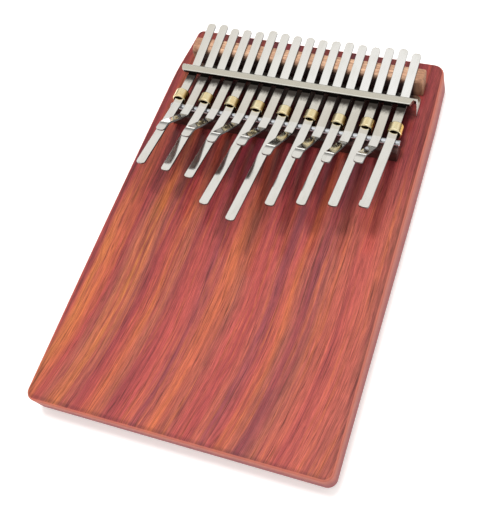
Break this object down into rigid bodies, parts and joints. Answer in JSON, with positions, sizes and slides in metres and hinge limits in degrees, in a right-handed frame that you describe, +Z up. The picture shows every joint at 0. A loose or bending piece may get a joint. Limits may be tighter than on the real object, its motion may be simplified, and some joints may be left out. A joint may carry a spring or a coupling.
{
  "type": "board mbira",
  "caption": "Board mbira: steel tines in two heights, held on a wooden board by a slotted steel bracket between a wooden bridge and a steel rod, with brass buzzer rings.",
  "frame": {"origin": "centre of the board's underside", "axes": "+X to the player's right, +Y from the player's edge towards the bridges, +Z up"},
  "size_m": [0.125, 0.196, 0.0409],
  "materials": {
    "board_wood": "satin lacquer over red streaked hardwood",
    "bridge_wood": "bare light brown hardwood",
    "strip_wood": "dark red-brown hardwood",
    "rod_steel": "polished steel",
    "bracket_steel": "nickel-plated sheet, satin",
    "screw_steel": "plated",
    "tine_steel": "polished spring steel",
    "ring_brass": "polished"
  },
  "bodies": {
    "frame": {"board": "board_wood", "back_bridge": "bridge_wood", "bridge_strip": "strip_wood", "bridge_rod": "rod_steel", "pressure_bracket": "bracket_steel", "bracket_screws": "screw_steel", "tine_01_root": "tine_steel", "tine_02_root": "tine_steel", "tine_03_root": "tine_steel", "tine_04_root": "tine_steel", "tine_05_root": "tine_steel", "tine_06_root": "tine_steel", "tine_07_root": "tine_steel", "tine_08_root": "tine_steel", "tine_09_root": "tine_steel", "tine_10_root": "tine_steel", "tine_11_root": "tine_steel", "tine_12_root": "tine_steel", "tine_13_root": "tine_steel", "tine_14_root": "tine_steel", "tine_15_root": "tine_steel", "tine_16_root": "tine_steel", "tine_17_root": "tine_steel"},
    "tongue_01": {"tine_01_tongue": "tine_steel"},
    "tongue_02": {"tine_02_tongue": "tine_steel"},
    "tongue_03": {"tine_03_tongue": "tine_steel"},
    "tongue_04": {"tine_04_tongue": "tine_steel"},
    "tongue_05": {"tine_05_tongue": "tine_steel"},
    "tongue_06": {"tine_06_tongue": "tine_steel"},
    "tongue_07": {"tine_07_tongue": "tine_steel"},
    "tongue_08": {"tine_08_tongue": "tine_steel"},
    "tongue_09": {"tine_09_tongue": "tine_steel"},
    "tongue_10": {"tine_10_tongue": "tine_steel"},
    "tongue_11": {"tine_11_tongue": "tine_steel"},
    "tongue_12": {"tine_12_tongue": "tine_steel"},
    "tongue_13": {"tine_13_tongue": "tine_steel"},
    "tongue_14": {"tine_14_tongue": "tine_steel"},
    "tongue_15": {"tine_15_tongue": "tine_steel"},
    "tongue_16": {"tine_16_tongue": "tine_steel"},
    "tongue_17": {"tine_17_tongue": "tine_steel"},
    "ring_01": {"buzzer_ring_01": "ring_brass"},
    "ring_03": {"buzzer_ring_03": "ring_brass"},
    "ring_05": {"buzzer_ring_05": "ring_brass"},
    "ring_07": {"buzzer_ring_07": "ring_brass"},
    "ring_09": {"buzzer_ring_09": "ring_brass"},
    "ring_11": {"buzzer_ring_11": "ring_brass"},
    "ring_13": {"buzzer_ring_13": "ring_brass"},
    "ring_15": {"buzzer_ring_15": "ring_brass"},
    "ring_17": {"buzzer_ring_17": "ring_brass"}
  },
  "joints": [
    {"name": "pluck_01", "type": "hinge", "parent": "frame", "child": "tongue_01", "pos_m": [-0.0492, 0.044, 0.0224], "axis": [1, 0, 0], "range_deg": [-2, 3], "stiffness_Nm_per_rad": 2},
    {"name": "pluck_02", "type": "hinge", "parent": "frame", "child": "tongue_02", "pos_m": [-0.04305, 0.044, 0.0224], "axis": [1, 0, 0], "range_deg": [-2.5, 4], "stiffness_Nm_per_rad": 2},
    {"name": "pluck_03", "type": "hinge", "parent": "frame", "child": "tongue_03", "pos_m": [-0.0369, 0.044, 0.0224], "axis": [1, 0, 0], "range_deg": [-2, 3], "stiffness_Nm_per_rad": 2},
    {"name": "pluck_04", "type": "hinge", "parent": "frame", "child": "tongue_04", "pos_m": [-0.03075, 0.044, 0.0224], "axis": [1, 0, 0], "range_deg": [-2.5, 4], "stiffness_Nm_per_rad": 2},
    {"name": "pluck_05", "type": "hinge", "parent": "frame", "child": "tongue_05", "pos_m": [-0.0246, 0.044, 0.0224], "axis": [1, 0, 0], "range_deg": [-2, 3], "stiffness_Nm_per_rad": 2},
    {"name": "pluck_06", "type": "hinge", "parent": "frame", "child": "tongue_06", "pos_m": [-0.01845, 0.044, 0.0224], "axis": [1, 0, 0], "range_deg": [-2.5, 4], "stiffness_Nm_per_rad": 2},
    {"name": "pluck_07", "type": "hinge", "parent": "frame", "child": "tongue_07", "pos_m": [-0.0123, 0.044, 0.0224], "axis": [1, 0, 0], "range_deg": [-2, 3], "stiffness_Nm_per_rad": 2},
    {"name": "pluck_08", "type": "hinge", "parent": "frame", "child": "tongue_08", "pos_m": [-0.00615, 0.044, 0.0224], "axis": [1, 0, 0], "range_deg": [-2.5, 4], "stiffness_Nm_per_rad": 2},
    {"name": "pluck_09", "type": "hinge", "parent": "frame", "child": "tongue_09", "pos_m": [0, 0.044, 0.0224], "axis": [1, 0, 0], "range_deg": [-2, 3], "stiffness_Nm_per_rad": 2},
    {"name": "pluck_10", "type": "hinge", "parent": "frame", "child": "tongue_10", "pos_m": [0.00615, 0.044, 0.0224], "axis": [1, 0, 0], "range_deg": [-2.5, 4], "stiffness_Nm_per_rad": 2},
    {"name": "pluck_11", "type": "hinge", "parent": "frame", "child": "tongue_11", "pos_m": [0.0123, 0.044, 0.0224], "axis": [1, 0, 0], "range_deg": [-2, 3], "stiffness_Nm_per_rad": 2},
    {"name": "pluck_12", "type": "hinge", "parent": "frame", "child": "tongue_12", "pos_m": [0.01845, 0.044, 0.0224], "axis": [1, 0, 0], "range_deg": [-2.5, 4], "stiffness_Nm_per_rad": 2},
    {"name": "pluck_13", "type": "hinge", "parent": "frame", "child": "tongue_13", "pos_m": [0.0246, 0.044, 0.0224], "axis": [1, 0, 0], "range_deg": [-2, 3], "stiffness_Nm_per_rad": 2},
    {"name": "pluck_14", "type": "hinge", "parent": "frame", "child": "tongue_14", "pos_m": [0.03075, 0.044, 0.0224], "axis": [1, 0, 0], "range_deg": [-2.5, 4], "stiffness_Nm_per_rad": 2},
    {"name": "pluck_15", "type": "hinge", "parent": "frame", "child": "tongue_15", "pos_m": [0.0369, 0.044, 0.0224], "axis": [1, 0, 0], "range_deg": [-2, 3], "stiffness_Nm_per_rad": 2},
    {"name": "pluck_16", "type": "hinge", "parent": "frame", "child": "tongue_16", "pos_m": [0.04305, 0.044, 0.0224], "axis": [1, 0, 0], "range_deg": [-2.5, 4], "stiffness_Nm_per_rad": 2},
    {"name": "pluck_17", "type": "hinge", "parent": "frame", "child": "tongue_17", "pos_m": [0.0492, 0.044, 0.0224], "axis": [1, 0, 0], "range_deg": [-2, 3], "stiffness_Nm_per_rad": 2},
    {"name": "ring_slide_01", "type": "slide", "parent": "frame", "child": "ring_01", "axis": [0.0139, 0.998, -0.0611], "range_m": [0, 0.009]},
    {"name": "ring_slide_03", "type": "slide", "parent": "frame", "child": "ring_03", "axis": [0.0139, 0.998, -0.0611], "range_m": [0, 0.009]},
    {"name": "ring_slide_05", "type": "slide", "parent": "frame", "child": "ring_05", "axis": [0.0139, 0.998, -0.0611], "range_m": [0, 0.009]},
    {"name": "ring_slide_07", "type": "slide", "parent": "frame", "child": "ring_07", "axis": [0.0139, 0.998, -0.0611], "range_m": [0, 0.009]},
    {"name": "ring_slide_09", "type": "slide", "parent": "frame", "child": "ring_09", "axis": [0.0139, 0.998, -0.0611], "range_m": [0, 0.009]},
    {"name": "ring_slide_11", "type": "slide", "parent": "frame", "child": "ring_11", "axis": [0.0139, 0.998, -0.0611], "range_m": [0, 0.009]},
    {"name": "ring_slide_13", "type": "slide", "parent": "frame", "child": "ring_13", "axis": [0.0139, 0.998, -0.0611], "range_m": [0, 0.009]},
    {"name": "ring_slide_15", "type": "slide", "parent": "frame", "child": "ring_15", "axis": [0.0139, 0.998, -0.0611], "range_m": [0, 0.009]},
    {"name": "ring_slide_17", "type": "slide", "parent": "frame", "child": "ring_17", "axis": [0.0139, 0.998, -0.0611], "range_m": [0, 0.009]}
  ]
}
